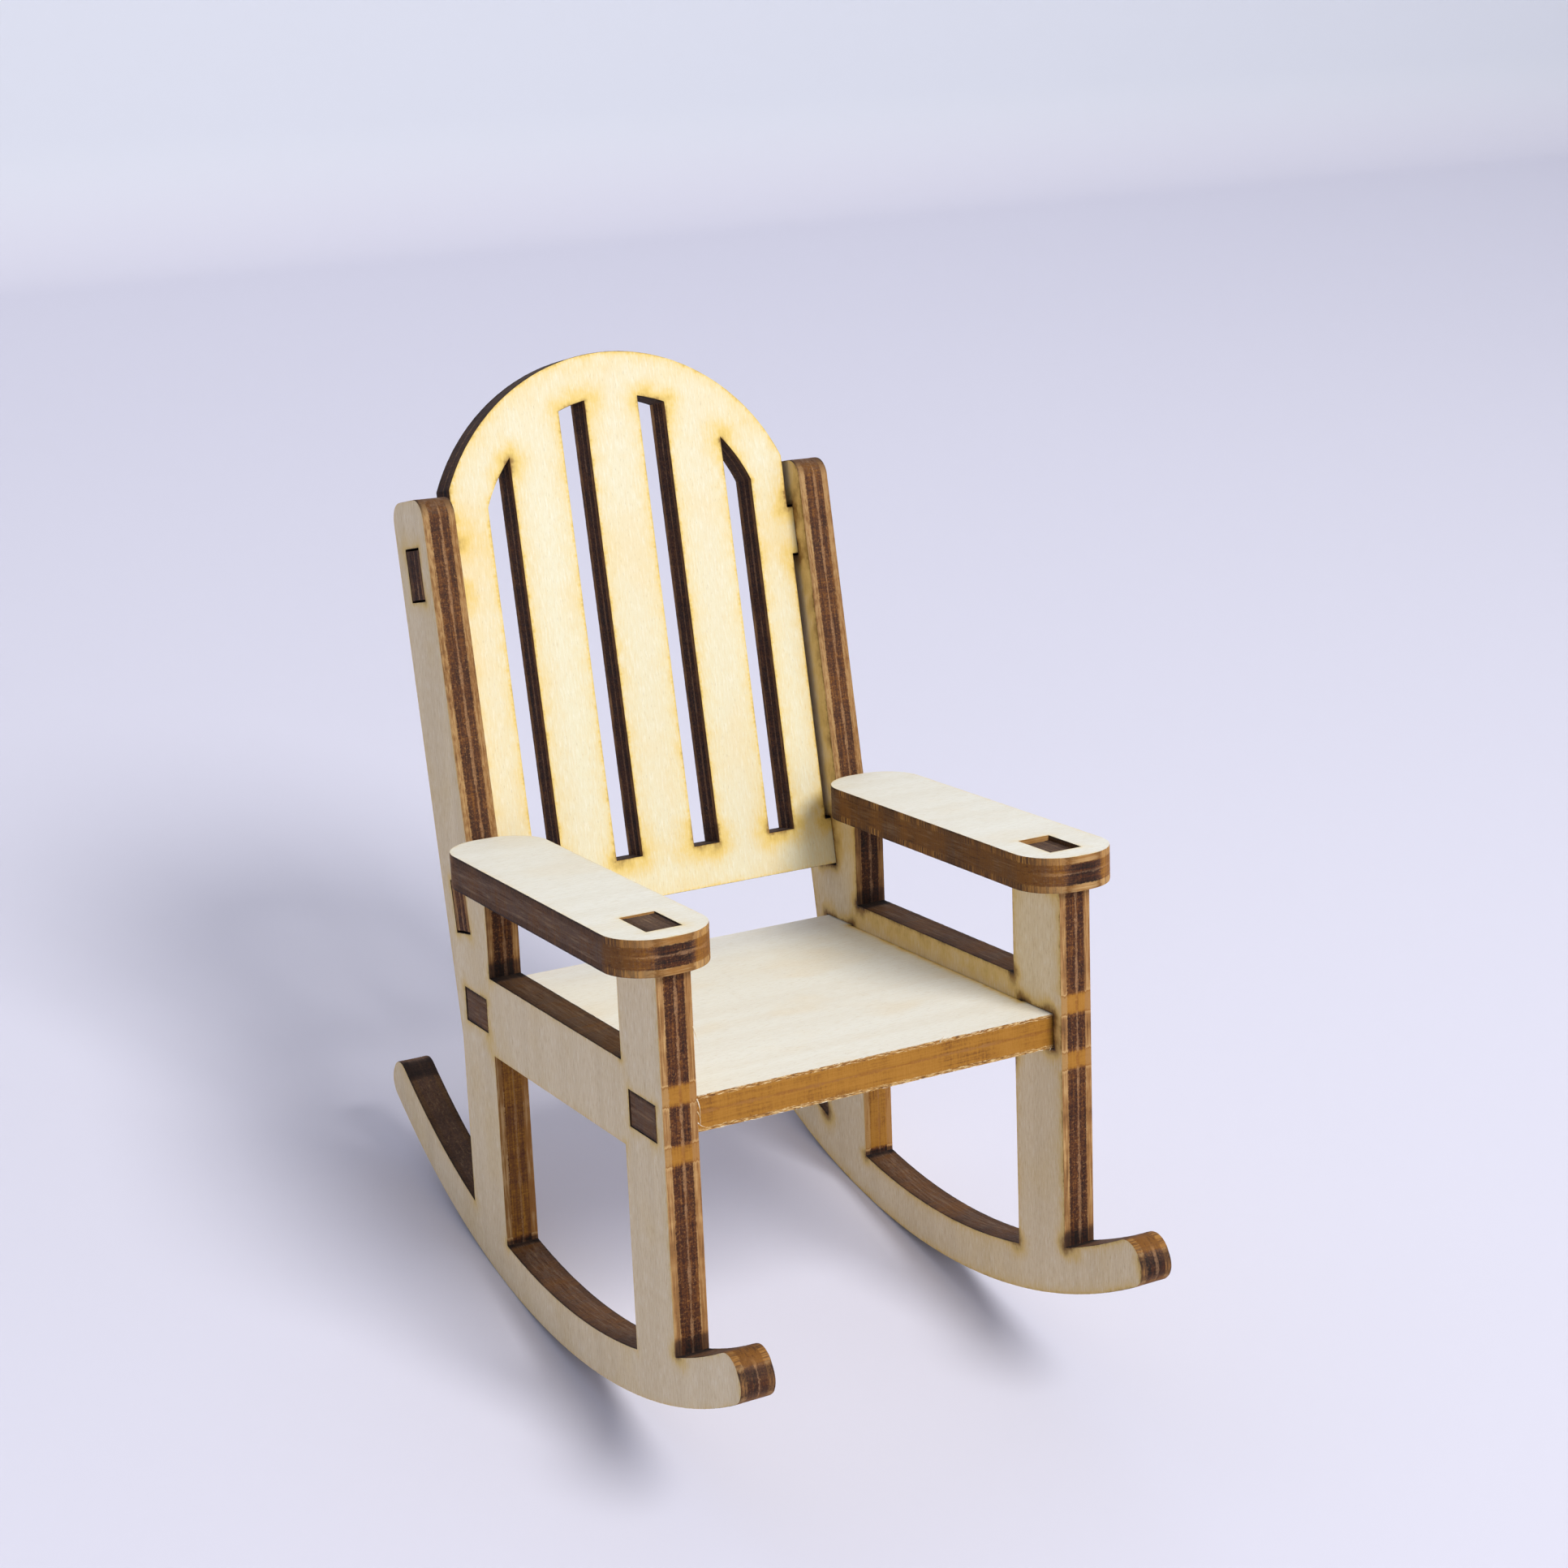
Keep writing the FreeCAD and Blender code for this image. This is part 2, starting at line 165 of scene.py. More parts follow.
class Cut:
    """The laser's path round a board, or clockwise round a hole in it, with the material on its left."""

    def __init__(self, start, hole=False):
        self.at = Vector(start)
        self.hole = hole
        self.stretches = []

    def add(self, places, tangents, burn):
        self.stretches.append((places, tangents, burn))

    def straight(self, end, burn):
        start, end = self.at, Vector(end)
        run = end - start
        nick = min(corner_nick, run.length / 4)
        count = max(1, round((run.length - 2 * nick) / cut_step))
        tangent = run.normalized()
        places = [start + tangent * (nick + (run.length - 2 * nick) * n / count) for n in range(count + 1)]
        self.add(places, [tangent] * (count + 1), burn)
        self.at = end

    def round(self, middle, end, burn):
        start, end = self.at - middle, Vector(end) - middle
        radius = start.length
        turn = math.atan2(start.x * end.y - start.y * end.x, start.dot(end))
        side = math.copysign(1, turn)
        nick = corner_nick / radius
        sweep = abs(turn) - 2 * nick
        first = math.atan2(start.y, start.x)
        count = max(2, round(sweep * radius / cut_step))
        places, tangents = [], []
        for n in range(count + 1):
            angle = first + side * (nick + sweep * n / count)
            outward = Vector((math.cos(angle), math.sin(angle)))
            places.append(middle + radius * outward)
            tangents.append(Vector((-outward.y, outward.x)) * side)
        self.add(places, tangents, burn)
        self.at = end + middle

    def rounded(self, corner, following, radius, burn, corner_burn):
        """Straight on to a rounded corner, and round it towards the following place."""
        corner = Vector(corner)
        into = (corner - self.at).normalized()
        out = (Vector(following) - corner).normalized()
        turn = math.atan2(into.x * out.y - into.y * out.x, into.dot(out))
        back = radius * math.tan(abs(turn) / 2)
        if (corner - into * back - self.at).length > cut_step / 2:
            self.straight(corner - into * back, burn)
        middle = self.at + Vector((-into.y, into.x)) * math.copysign(radius, turn)
        self.round(middle, corner + out * back, corner_burn)


def box_hole(low, high, burn):
    """A rectangular hole, cut clockwise."""
    cut = Cut(low, hole=True)
    cut.straight((low[0], high[1]), burn)
    cut.straight(high, burn)
    cut.straight((high[0], low[1]), burn)
    cut.straight(low, burn)
    return cut


def ragged(place, size, seed):
    """Smooth unevenness from -1 to 1, in patches of about this size in mm."""
    return noise.noise(Vector((place[0] / size, place[1] / size, seed)))


def walk(cuts, grain, chance, warm_reach):
    """The points along the cuts, the loops they form, and the inner corners where heat gathered."""
    columns, loops, hot_spots = [], [], []
    for cut in cuts:
        loop = []
        for number, (places, tangents, burn) in enumerate(cut.stretches):
            before = cut.stretches[number - 1][1][-1]
            after = cut.stretches[(number + 1) % len(cut.stretches)][1][0]
            for n, (spot, tangent) in enumerate(zip(places, tangents)):
                inward = Vector((-tangent.y, tangent.x))
                shift = inward.copy()
                if n == 0:
                    turn = math.atan2(before.x * tangent.y - before.y * tangent.x, before.dot(tangent))
                    shift += tangent * math.tan(turn / 2)
                if n == len(places) - 1:
                    turn = math.atan2(tangent.x * after.y - tangent.y * after.x, tangent.dot(after))
                    shift -= tangent * math.tan(turn / 2)
                    if cut.hole and abs(turn) > sharp_turn or turn < -sharp_turn:
                        strength = chance.uniform(0.35, 1.0)
                        hot_spots.append((spot, strength, warm_reach * chance.uniform(0.8, 1.5)))
                loop.append(len(columns))
                columns.append((spot, shift, abs(inward.dot(grain)), burn, inward))
        loops.append(loop)
    return columns, loops, hot_spots


def settled_heat(columns, loop, marks, seed):
    """The heat along a loop: it changes gradually, but at once at a corner, and soon at a mark."""
    heats = []
    for n, here in enumerate(loop):
        spot, inward = columns[here][0], columns[here][4]
        beside = [columns[loop[(n + k) % len(loop)]] for k in range(-blur, blur + 1)]
        straight_on = [column[3] for column in beside if inward.dot(column[4]) > 0.85]
        heat = sum(straight_on) / len(straight_on)
        for mark, reach, mark_burn in marks:
            near = math.exp(-((spot - Vector(mark)).length / reach) ** mark_hardness)
            heat += (mark_burn - heat) * near
        heat += 0.1 * ragged(spot, 2.6, seed) + 0.05 * ragged(spot, 0.6, seed + 9)
        heats.append(min(1, max(0, heat)))
    return heats


def burnt_back(spot, row, across, heat, seed):
    """How far behind its outline a board's edge is burnt: most at the glue lines and the arrises."""
    from_glue = min(abs(row - veneer_share), abs(row - (1 - veneer_share)), abs(row - middle_glue))
    arris = max(0, 1 - min(row, 1 - row) / arris_share)
    back = least_burn + arris_burn * arris
    back += uneven_burn * (1 + ragged(spot, 0.28, seed + 3))
    if 0 < row < 1:
        back += pitted_burn * (1 + noise.noise(Vector((spot.x * 4, spot.y * 4, row * 11 + seed))))
    if veneer_share < row < 1 - veneer_share:
        back += core_burn * heat
    if from_glue < glue_share:
        back += glue_burn
    if arris:
        back += chipped_burn * arris * (1 + ragged(spot, 0.5, seed + 5)) * (0.4 + across)
    return back


def inside_points(columns, loops, near_cut, chance):
    """Points inside a face: two lines close behind each cut, then a loose grid over the rest."""
    points = []
    for loop in loops:
        for n in loop[::2]:
            spot, shift = columns[n][:2]
            if shift.length < 1.01:
                points += [spot + shift * near_line, spot + shift * far_line]
    lowest = Vector((min(column[0].x for column in columns), min(column[0].y for column in columns)))
    highest = Vector((max(column[0].x for column in columns), max(column[0].y for column in columns)))
    for i in range(int((highest.x - lowest.x) / face_grid) + 1):
        for j in range(int((highest.y - lowest.y) / face_grid) + 1):
            jitter = Vector((chance.uniform(-0.3, 0.3), chance.uniform(-0.3, 0.3)))
            points.append(lowest + (Vector((i + j % 2 / 2, j)) + jitter) * face_grid)
    kept = []
    for spot in points:
        _, number, away = near_cut.find((spot.x, spot.y, 0))
        beside, shift = columns[number][:2]
        if away > clear_of_cut and (spot - beside).dot(shift) > 0:
            kept.append(spot)
    return kept


def warmth(spot, away, heat, warm_reach, halo, hot_spots, stains_and_shade, seed):
    """How brown a place on a face is, from its distance to the cut, the hot corners and the bands of smoky
    tint and painted shade.
    """
    tint = (0.04 + 0.12 * heat) * math.exp(-away / singe_reach)
    tint += 0.2 * heat * math.exp(-(away / warm_reach) ** 1.3)
    for centre, strength, reach in hot_spots:
        tint += 0.22 * strength * math.exp(-((spot - centre).length / reach) ** 2)
    tint *= halo
    tint += 0.3 * heat * math.exp(-(away / char_reach) ** 2)
    # Each band darkens the face along a line: a smoky mark, and on the posts beside the back partly painted
    # shade.
    for start, end, reach, strength in stains_and_shade:
        along = min(1, max(0, (spot - start).dot(end - start) / (end - start).length_squared))
        off = (spot - start - along * (end - start)).length
        tint += strength * math.exp(-(off / reach) ** 2) * (1 + 0.4 * ragged(spot, 2.2, seed + 1))
    return min(1, tint)


def board(name, node, place, cuts, grain, finish, seed, marks=(), halo=(1, 1), warm_reach=1.0, smoke_and_shade=()):
    """Make one laser-cut board, standing for its CAD node.

    place takes the board's own plane, in mm, to the level chair.  grain is the direction of the
    face veneers.  marks are (place, reach, burn) where the beam dwelt or skipped.  halo is how
    strongly the heat has tinted the low and the high face, out to about warm_reach.  The last
    argument holds darker bands on one face, each along a line: (start, end, reach, strength, face).
    Most are smoky marks; the bands on the posts beside the back are partly smoky marks and partly
    painted shade.
    """
    chance = random.Random(seed)
    grain = Vector(grain)
    columns, loops, hot_spots = walk(cuts, grain, chance, warm_reach)
    heats = [heat for loop in loops for heat in settled_heat(columns, loop, marks, seed)]
    wide = len(columns)
    to_world = at_rest @ place
    corners, planks, burns, scorches = [], [], [], []

    def lay(flat, row, burn, scorch):
        corners.append(to_world @ Vector((flat.x, flat.y, row * ply)))
        planks.append((flat.dot(grain), flat.x * grain.y - flat.y * grain.x, row * ply + seed * 7))
        burns.append(burn)
        scorches.append(scorch)

    # The burnt wall of every cut, row by row through the thickness.
    for row in rows:
        for (spot, shift, across, *_), heat in zip(columns, heats):
            flat = spot + shift * burnt_back(spot, row, across, heat, seed)
            lay(flat, row, (heat, across, row), 1.0)
    faces = []
    for loop in loops:
        for n, here in enumerate(loop):
            following = loop[(n + 1) % len(loop)]
            for row in range(len(rows) - 1):
                low, high = row * wide, (row + 1) * wide
                faces.append((here + low, following + low, following + high, here + high))
    walls = len(faces)

    # The two faces share one net of triangles, fine enough for the tint beside each cut.
    near_cut = KDTree(wide)
    for number, (spot, *_) in enumerate(columns):
        near_cut.insert((spot.x, spot.y, 0), number)
    near_cut.balance()
    to_flat = place.inverted() @ at_rest.inverted()
    net_points = [(to_flat @ corner).to_2d() for corner in corners[:wide]]
    net_points += inside_points(columns, loops, near_cut, chance)
    polygons = [loop if not cut.hole else loop[::-1] for loop, cut in zip(loops, cuts)]
    meshed = delaunay_2d_cdt(net_points, [], polygons, 1, 1e-7, True)
    triangles = [
        [meshed[3][n][0] for n in triangle] for triangle, owners in zip(meshed[2], meshed[5]) if owners == [0]
    ]
    used = sorted({n for triangle in triangles for n in triangle if n >= wide})
    for side, row in ((0, 0.0), (1, 1.0)):
        first = len(corners)
        number_of = {n: first + k for k, n in enumerate(used)}
        top_row = (len(rows) - 1) * wide * side
        for n in range(wide):
            number_of[n] = n + top_row
        for n in used:
            lay(net_points[n], row, (0.5, 0, row), 0.0)
        stains_and_shade = [dark_band[:4] for dark_band in smoke_and_shade if dark_band[4] == side]
        for n in list(range(wide)) + used:
            spot = net_points[n]
            _, number, away = near_cut.find((spot.x, spot.y, 0))
            scorches[number_of[n]] = warmth(
                spot, away, heats[number], warm_reach, halo[side], hot_spots, stains_and_shade, seed
            )
        for a, b, c in triangles:
            order = (a, c, b) if side == 0 else (a, b, c)
            faces.append(tuple(number_of[n] for n in order))

    mesh = bpy.data.meshes.new(name)
    mesh.from_pydata([tuple(corner) for corner in corners], [], faces)
    for label, values in (("plank", planks), ("cut", burns)):
        layer = mesh.attributes.new(label, "FLOAT_VECTOR", "POINT")
        layer.data.foreach_set("vector", [number for value in values for number in value])
    layer = mesh.attributes.new("scorch", "FLOAT", "POINT")
    layer.data.foreach_set("value", scorches)
    for material in finish:
        mesh.materials.append(material)
    mesh.polygons.foreach_set("material_index", [int(n < walls) for n in range(len(faces))])
    mesh.polygons.foreach_set("use_smooth", [True] * len(faces))
    mesh.set_sharp_from_angle(angle=sharp_edge)
    mesh.update()
    piece = bpy.data.objects.new(name, mesh)
    bpy.context.collection.objects.link(piece)
    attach(piece, "root")
    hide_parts(node)


def paint(red, green, blue):
    """A colour as it is mixed on a screen, from 0 to 255, made into light."""
    return tuple(((part / 255 + 0.055) / 1.055) ** 2.4 for part in (red, green, blue)) + (1,)


class Finish:
    """A material whose nodes are added and joined one after the other."""

    def __init__(self, name, **sockets):
        self.material = bpy.data.materials.new(name)
        self.material.use_nodes = True
        self.nodes = self.material.node_tree.nodes
        self.links = self.material.node_tree.links
        self.shader = self.nodes["Principled BSDF"]
        for socket, value in sockets.items():
            self.shader.inputs[socket.replace("_", " ")].default_value = value

    def add(self, kind, *feeds, out=0, **settings):
        """Add a node, feed its sockets, and give the socket that comes out of it."""
        node = self.nodes.new("ShaderNode" + kind)
        for setting, value in settings.items():
            setattr(node, setting, value)
        for place, feed in feeds:
            self.feed(node.inputs[place], feed)
        return node.outputs[out]

    def feed(self, socket, feed):
        if isinstance(feed, bpy.types.NodeSocket):
            self.links.new(feed, socket)
        else:
            socket.default_value = feed

    def read(self, attribute, out="Vector"):
        """What a board's points carry: plank, cut or scorch."""
        node = self.nodes.new("ShaderNodeAttribute")
        node.attribute_name = attribute
        return node.outputs[out]

    def scaled(self, vector, *sizes):
        return self.add("VectorMath", (0, vector), (1, sizes), operation="MULTIPLY")

    def grainy(self, vector, sizes, detail=2.0, roughness=0.5):
        """Noise that is stretched along and across the grain."""
        stretched = self.scaled(vector, *sizes)
        return self.add(
            "TexNoise", ("Vector", stretched), ("Scale", 1.0), ("Detail", detail), ("Roughness", roughness)
        )

    def sum(self, kind, first, second=0.0):
        return self.add("Math", (0, first), (1, second), operation=kind)

    def step(self, value, low, high, start=0.0, end=1.0):
        return self.add(
            "MapRange", ("Value", value), ("From Min", low), ("From Max", high),
            ("To Min", start), ("To Max", end), interpolation_type="SMOOTHSTEP",
        )

    def ramp(self, value, *stops):
        node = self.nodes.new("ShaderNodeValToRGB")
        self.links.new(value, node.inputs[0])
        elements = node.color_ramp.elements
        while len(elements) < len(stops):
            elements.new(0.5)
        for element, (position, colour) in zip(elements, stops):
            element.position = position
            element.color = colour
        return node.outputs[0]

    def mix(self, share, first, second, blend="MIX"):
        node = self.nodes.new("ShaderNodeMix")
        node.data_type = "RGBA"
        node.blend_type = blend
        self.feed(node.inputs["Factor"], share)
        first_colour, second_colour = node.inputs[6:8]
        self.feed(first_colour, first)
        self.feed(second_colour, second)
        return node.outputs[2]

    def surface(self, colour, roughness, height, depth, strength):
        self.links.new(colour, self.shader.inputs["Base Color"])
        self.links.new(roughness, self.shader.inputs["Roughness"])
        bump = self.add("Bump", ("Height", height), ("Distance", depth), ("Strength", strength))
        self.links.new(bump, self.shader.inputs["Normal"])
        return self.material


def birch_face(name, pale, figure, tint, warmth=0.5, singed=paint(231, 197, 102)):
    """Sanded birch veneer: fine fibres, short pores, faint figure, and singed where heat reached.

    pale is its ground, figure its darker streaks, and tint its clouds, as strong as warmth.
    """
    wood = Finish(name, Specular_IOR_Level=0.3)
    plank = wood.read("plank")
    scorch = wood.read("scorch", "Fac")
    bands = wood.grainy(plank, (0.02, 0.42, 0.3), detail=3.0)
    cloud = wood.grainy(plank, (0.11, 0.16, 0.3), detail=2.0)
    fibre = wood.grainy(plank, (0.9, 6.0, 1.0), detail=3.0, roughness=0.7)
    pores = wood.grainy(plank, (1.8, 11.0, 1.0), detail=1.0)
    colour = wood.mix(wood.step(bands, 0.35, 0.68, 0, 0.3), pale, figure)
    colour = wood.mix(wood.step(cloud, 0.5, 0.72, 0, warmth), colour, tint)
    colour = wood.mix(wood.step(fibre, 0.5, 0.72, 0, 0.6), colour, figure)
    colour = wood.mix(wood.step(fibre, 0.5, 0.28, 0, 0.3), colour, paint(253, 250, 240))
    colour = wood.mix(wood.step(pores, 0.64, 0.76, 0, 0.28), colour, paint(158, 126, 88))
    patches = wood.grainy(plank, (0.7, 0.7, 0.7), detail=4.0, roughness=0.6)
    heat = wood.sum("MULTIPLY", scorch, wood.step(patches, 0.25, 0.75, 0.7, 1.3))
    heat = wood.sum("ADD", heat, wood.step(fibre, 0.3, 0.7, -0.03, 0.03))
    colour = wood.mix(wood.step(heat, 0.0, 0.4, 0, 0.9), colour, singed)
    colour = wood.mix(wood.step(heat, 0.28, 0.75, 0, 0.9), colour, paint(134, 96, 44))
    colour = wood.mix(wood.step(heat, 0.7, 1.1, 0, 0.9), colour, paint(45, 30, 26))
    rough = wood.step(fibre, 0.2, 0.8, 0.55, 0.75)
    height = wood.sum("ADD", wood.sum("MULTIPLY", fibre, 0.7), wood.sum("MULTIPLY", pores, -0.5))
    return wood.surface(colour, rough, height, 0.00006, 0.35)


def burnt_edge(
    name, veneer_gold=paint(168, 128, 76), veneer_depth=veneer_share, comb=0.1, flecks=0.0, veneer_burn=1.0
):
    """A laser-cut edge: the face veneers, the crossed core with its middle line, soot and scoring.

    veneer_depth is the veneer's share of the thickness, comb how toothed its end grain looks,
    flecks how torn its long grain is, and veneer_burn how much of the heat reached it.
    """
    edge = Finish(name, Specular_IOR_Level=0.22)
    plank = edge.read("plank")
    facts = edge.add("SeparateXYZ", (0, edge.read("cut")))
    burn, across, through = facts.node.outputs
    scoring = edge.grainy(plank, (6.5, 6.5, 0.5), detail=3.0, roughness=0.6)
    long_fibre = edge.grainy(plank, (0.35, 7.5, 7.5), detail=3.0, roughness=0.6)
    cross_fibre = edge.grainy(plank, (4.6, 0.3, 4.6), detail=3.0, roughness=0.7)
    mottle = edge.grainy(plank, (4.2, 4.2, 3.6), detail=4.0, roughness=0.75)
    drift = edge.grainy(plank, (0.5, 0.5, 0.5), detail=2.0)
    stripes = edge.grainy(plank, (0.16, 0.16, 6.0), detail=3.0, roughness=0.6)

    # The plies, counted from the middle of the thickness, with borders as ragged as torn fibres.
    veneer_at = 0.5 - veneer_depth
    wander = edge.sum("MULTIPLY", edge.sum("SUBTRACT", mottle, 0.5), 0.11)
    depth = edge.sum("ADD", through, wander)
    from_middle = edge.sum("ABSOLUTE", edge.sum("SUBTRACT", depth, 0.5))
    veneer = edge.step(from_middle, veneer_at - 0.02, veneer_at + 0.02)
    border = edge.step(from_middle, 0.42, 0.475)
    from_line = edge.sum("ABSOLUTE", edge.sum("SUBTRACT", depth, 0.535))
    half_line = edge.step(drift, 0.42, 0.6, 0.002, 0.034)
    middle_line = edge.step(edge.sum("SUBTRACT", from_line, half_line), 0.0, 0.035, 1, 0)

    # Dark cuts are streaked and mottled, golden ones even, and so is the core's long grain.
    unrest = edge.step(burn, 0.1, 0.55, 0.35, 1.0)
    end_grain = edge.step(across, 0.4, 0.9, 1.0, 0.45)
    unrest = edge.sum("MULTIPLY", unrest, end_grain)
    heat = edge.sum("ADD", burn, edge.sum("MULTIPLY", unrest, edge.step(scoring, 0.25, 0.75, -0.08, 0.08)))
    heat = edge.sum("ADD", heat, edge.sum("MULTIPLY", unrest, edge.step(drift, 0.3, 0.7, -0.06, 0.06)))

    def unsettled(pattern, reach):
        swing = edge.step(pattern, 0.3, 0.7, -reach, reach)
        return edge.sum("ADD", heat, edge.sum("MULTIPLY", unrest, swing))

    streaked = edge.sum("ADD", edge.sum("MULTIPLY", stripes, 0.55), edge.sum("MULTIPLY", mottle, 0.45))
    core_end = edge.ramp(
        unsettled(streaked, 0.27), (0.0, paint(172, 120, 48)), (0.2, paint(160, 109, 36)),
        (0.36, paint(124, 78, 28)), (0.52, paint(100, 59, 28)), (0.68, paint(70, 38, 22)),
        (1.0, paint(30, 20, 18)),
    )
    core_long = edge.ramp(
        unsettled(cross_fibre, 0.2), (0.0, paint(172, 120, 48)), (0.25, paint(138, 88, 30)),
        (0.45, paint(106, 68, 30)), (0.57, paint(95, 72, 56)), (0.7, paint(80, 60, 48)),
        (1.0, paint(32, 23, 21)),
    )
    bright_lines = edge.step(burn, 1.0, 0.6, 0.0, 0.45)
    bright_lines = edge.sum("MULTIPLY", edge.step(cross_fibre, 0.52, 0.7), bright_lines)
    bright = edge.ramp(burn, (0.35, paint(156, 108, 50)), (0.6, paint(160, 130, 98)))
    core_long = edge.mix(bright_lines, core_long, bright)
    core_long = edge.mix(edge.step(cross_fibre, 0.48, 0.34, 0.0, 0.65), core_long, paint(44, 30, 26))
    strand = edge.sum("ADD", edge.sum("MULTIPLY", stripes, 0.4), edge.sum("MULTIPLY", long_fibre, 0.6))
    uneven = edge.sum("ADD", burn, edge.step(strand, 0.3, 0.7, -0.13, 0.13))
    veneer_long = edge.ramp(
        edge.sum("MULTIPLY", uneven, veneer_burn),
        (0.0, veneer_gold), (0.2, veneer_gold), (0.29, paint(140, 96, 46)), (0.36, paint(150, 106, 56)),
        (0.46, paint(192, 156, 106)), (0.54, paint(186, 148, 98)), (0.66, paint(148, 106, 62)),
        (0.82, paint(80, 55, 38)), (1.0, paint(34, 24, 24)),
    )
    orange = edge.sum("MULTIPLY", edge.step(through, 0.45, 0.55), edge.step(burn, 0.8, 0.3, 0.2, 0.75))
    veneer_long = edge.mix(orange, veneer_long, edge.mix(0.5, veneer_long, paint(156, 98, 36)))
    torn = edge.grainy(plank, (1.5, 1.5, 11.0), detail=3.0, roughness=0.7)
    veneer_long = edge.mix(edge.step(torn, 0.51, 0.6, 0.0, flecks), veneer_long, paint(224, 198, 146))
    veneer_long = edge.mix(edge.step(torn, 0.46, 0.4, 0.0, flecks), veneer_long, paint(96, 62, 34))
    toothed = edge.sum("MULTIPLY", edge.step(scoring, 0.42, 0.6, -comb, comb), edge.step(burn, 0.5, 0.36))
    veneer_end = edge.ramp(
        edge.sum("ADD", heat, toothed), (0.0, paint(200, 158, 92)), (0.2, paint(172, 124, 60)),
        (0.36, paint(128, 84, 38)), (0.52, paint(86, 58, 36)), (0.75, paint(46, 33, 28)),
        (1.0, paint(22, 17, 18)),
    )
    core = edge.mix(across, core_end, core_long)
    skin = edge.mix(across, veneer_long, veneer_end)
    charred = edge.sum("MULTIPLY", border, across)
    charred = edge.sum("MULTIPLY", charred, edge.step(burn, 0.38, 0.55, 0.0, 0.8))
    skin = edge.mix(charred, skin, paint(34, 24, 23))
    colour = edge.mix(veneer, core, skin)
    line = edge.sum("MULTIPLY", middle_line, edge.step(across, 0.5, 0.85, 0.85, 0.1))
    line = edge.sum("MULTIPLY", line, edge.step(mottle, 0.36, 0.58, 0.35, 1.0))
    line_colour = edge.ramp(
        burn, (0.15, paint(140, 88, 32)), (0.35, paint(168, 124, 74)), (0.75, paint(152, 114, 82)),
        (1.0, paint(52, 38, 34)),
    )
    colour = edge.mix(line, colour, line_colour)
    dust = edge.grainy(plank, (5.0, 5.0, 6.0), detail=4.0, roughness=0.8)
    crumbs = edge.sum("MULTIPLY", edge.step(dust, 0.53, 0.68), edge.step(burn, 0.3, 0.5, 0.0, 1.0))
    crumbs = edge.sum("MULTIPLY", crumbs, edge.step(burn, 0.95, 0.7, 0.0, 0.6))
    crumbs = edge.sum("MULTIPLY", crumbs, end_grain)
    colour = edge.mix(crumbs, colour, paint(168, 118, 68))
    rough = edge.step(burn, 0.1, 0.9, 0.62, 0.82)
    height = edge.sum("ADD", scoring, edge.sum("MULTIPLY", mottle, 0.8))
    return edge.surface(colour, rough, height, 0.00008, 0.55)


def corner_swing(radius, degrees):
    """Where a tip's rounded corner begins, on the arc through its middle."""
    return degrees - math.degrees(math.asin(tip_corner / radius))


def rounded_tip(cut, degrees, side, burn, outwards):
    """The end of a rocker, square to its curve with both corners rounded."""
    low_swing, high_swing = corner_swing(low_corner, degrees), corner_swing(high_corner, degrees)
    low_edge = on_rocker(math.sqrt(low_corner ** 2 - tip_corner ** 2), degrees, side)
    high_edge = on_rocker(math.sqrt(high_corner ** 2 - tip_corner ** 2), degrees, side)
    low_middle = on_rocker(low_corner, low_swing, side)
    high_middle = on_rocker(high_corner, high_swing, side)
    if outwards:
        cut.round(low_middle, low_edge, burn)
        cut.straight(high_edge, burn)
        cut.round(high_middle, on_rocker(rocker_inner, high_swing, side), burn)
    else:
        cut.round(high_middle, high_edge, burn)
        cut.straight(low_edge, burn)
        cut.round(low_middle, on_rocker(rocker_radius, low_swing, side), burn)


